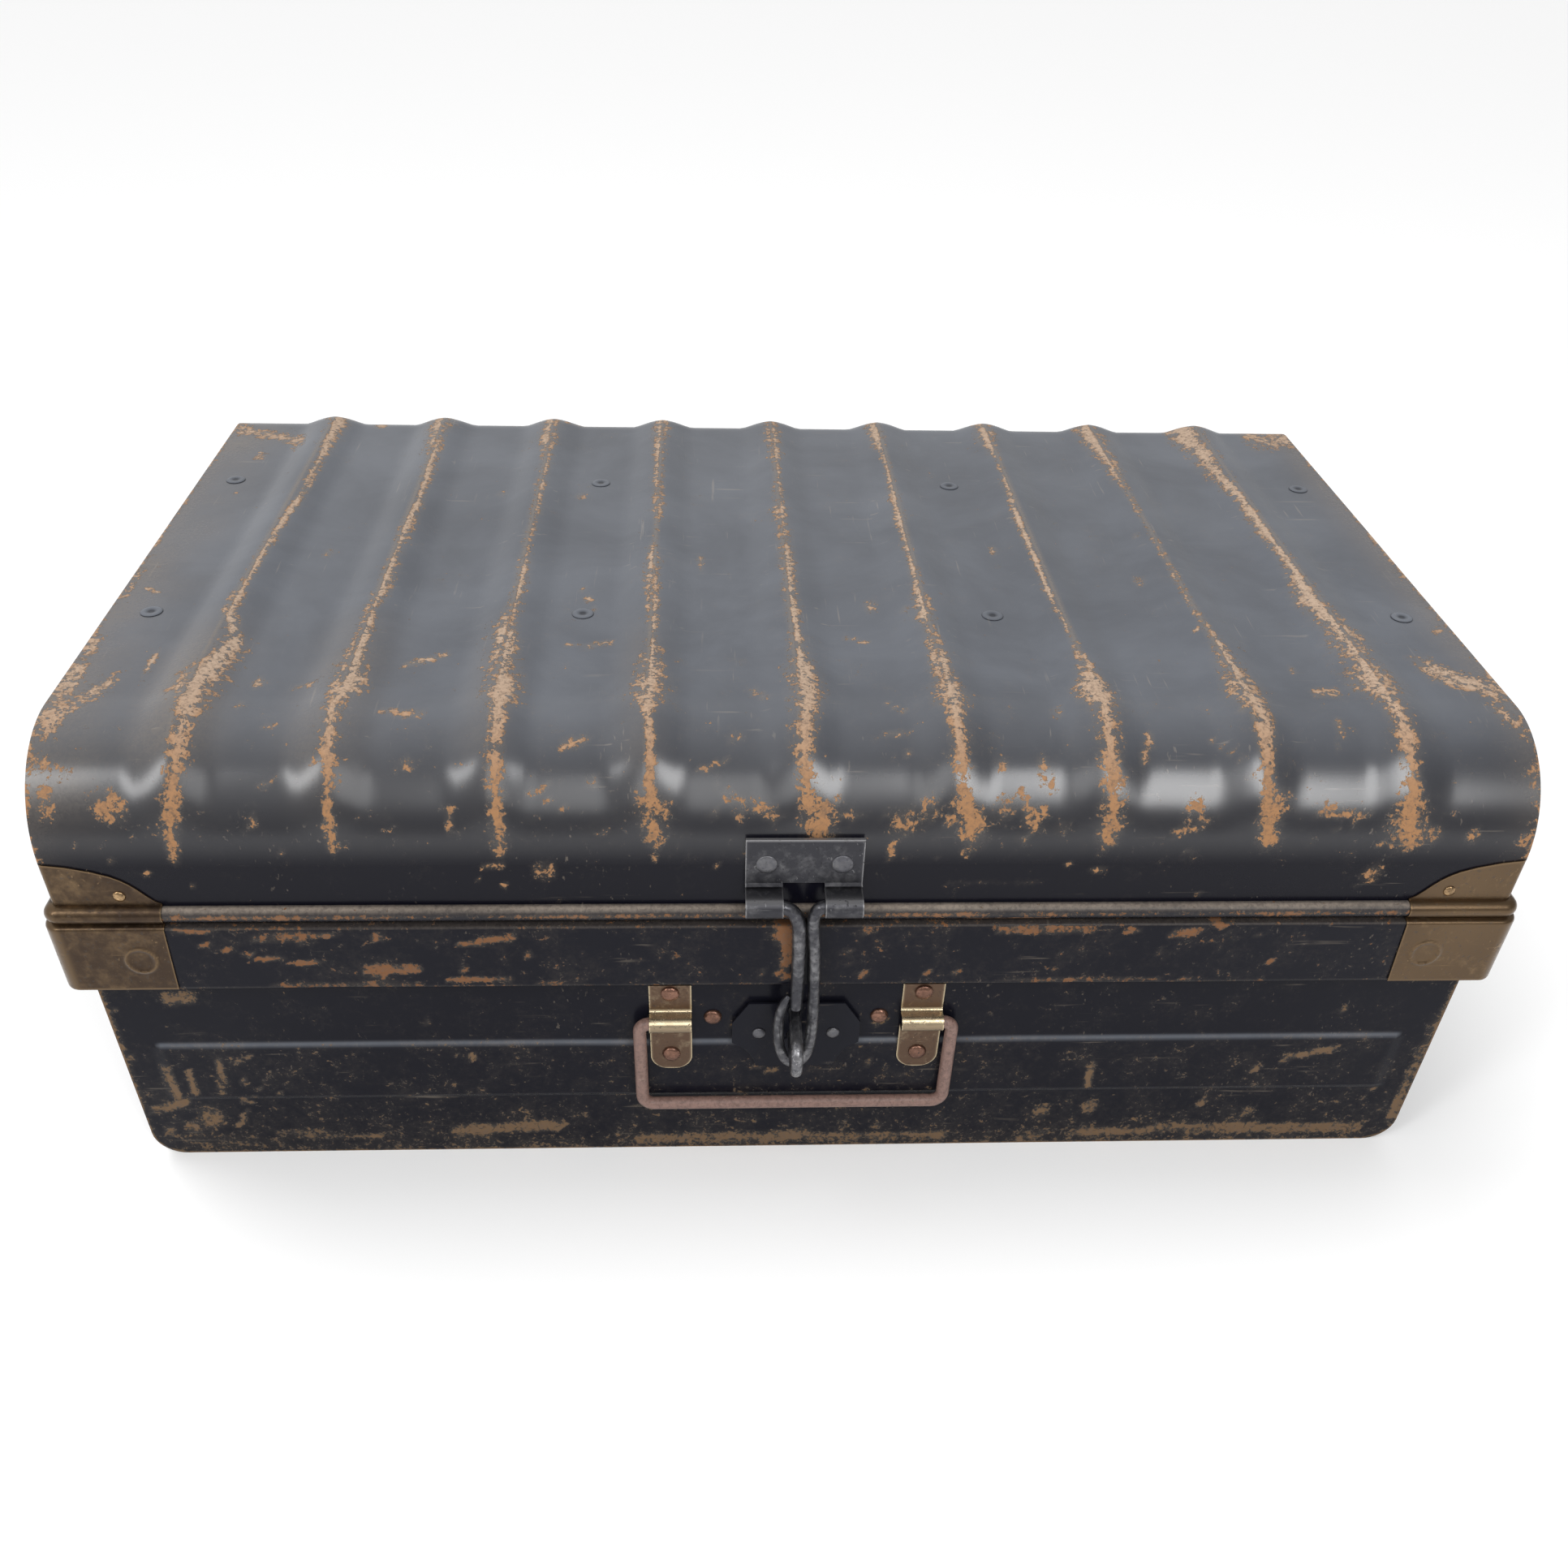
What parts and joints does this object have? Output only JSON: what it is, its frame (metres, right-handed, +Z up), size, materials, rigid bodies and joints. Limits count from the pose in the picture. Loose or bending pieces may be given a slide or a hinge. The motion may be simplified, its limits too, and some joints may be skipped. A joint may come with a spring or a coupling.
{
  "type": "metal trunk",
  "caption": "Sheet steel travelling trunk with a ribbed hinged lid, brass corner caps, a swinging rod hasp over a staple and a bail handle on the front.",
  "frame": {"origin": "centre of the flat underside of the body", "axes": "+X along the length to the right seen from the front, +Y from the front to the back, +Z up; the hasp and handle are on the -Y side"},
  "size_m": [0.6228, 0.4089, 0.2289],
  "materials": {
    "black_paint": "glossy black stoved enamel, chipped and scratched to tan primer and rust along ribs, bead and edges",
    "aged_brass": "aged, brown tarnish with brighter rubbed edges",
    "dark_steel": "dark worn steel with bright rubbed edges",
    "handle_steel": "reddish brown enamel with small light chips",
    "copper_rivet": "copper-plated dome, tarnished"
  },
  "bodies": {
    "body": {"body_wrap": "black_paint", "body_front_panel": "black_paint", "body_back_panel": "black_paint", "body_rim_wire": "black_paint", "staple_plate": "black_paint", "staple_loop": "dark_steel", "staple_backing_plate": "black_paint", "staple_plate_rivets": "black_paint", "backing_plate_rivets": "copper_rivet", "handle_clip_left": "aged_brass", "handle_clip_right": "aged_brass", "handle_clip_rivets": "copper_rivet", "hinge_body_leaf_left": "black_paint", "hinge_body_leaf_right": "black_paint", "hinge_pin_left": "dark_steel", "hinge_pin_right": "dark_steel", "hinge_body_rivets": "black_paint"},
    "lid": {"lid_wrap": "black_paint", "lid_left_end": "black_paint", "lid_right_end": "black_paint", "lid_rim_front": "black_paint", "lid_rim_right": "black_paint", "lid_rim_back": "black_paint", "lid_rim_left": "black_paint", "corner_cap_front_left": "aged_brass", "corner_cap_front_right": "aged_brass", "corner_cap_back_right": "aged_brass", "corner_cap_back_left": "aged_brass", "corner_cap_rivets": "dark_steel", "lid_stiffener_front": "black_paint", "lid_stiffener_rear": "black_paint", "lid_stiffener_rivets": "black_paint", "hasp_plate": "dark_steel", "hasp_plate_rivets": "dark_steel", "hinge_lid_leaf_left": "black_paint", "hinge_lid_leaf_right": "black_paint", "hinge_lid_rivets": "black_paint"},
    "hasp": {"hasp_rod": "dark_steel"},
    "handle": {"handle_bail": "handle_steel"}
  },
  "joints": [
    {"name": "lid_hinge", "type": "hinge", "parent": "body", "child": "lid", "pos_m": [0, 0.19265, 0.11125], "axis": [-1, 0, 0], "range_deg": [0, 110]},
    {"name": "hasp_hinge", "type": "hinge", "parent": "lid", "child": "hasp", "pos_m": [0.002, -0.193, 0.1616], "axis": [-1, 0, 0], "range_deg": [0, 150]},
    {"name": "handle_swing", "type": "hinge", "parent": "body", "child": "handle", "pos_m": [0.002, -0.1854, 0.088], "axis": [-1, 0, 0], "range_deg": [0, 150]}
  ]
}
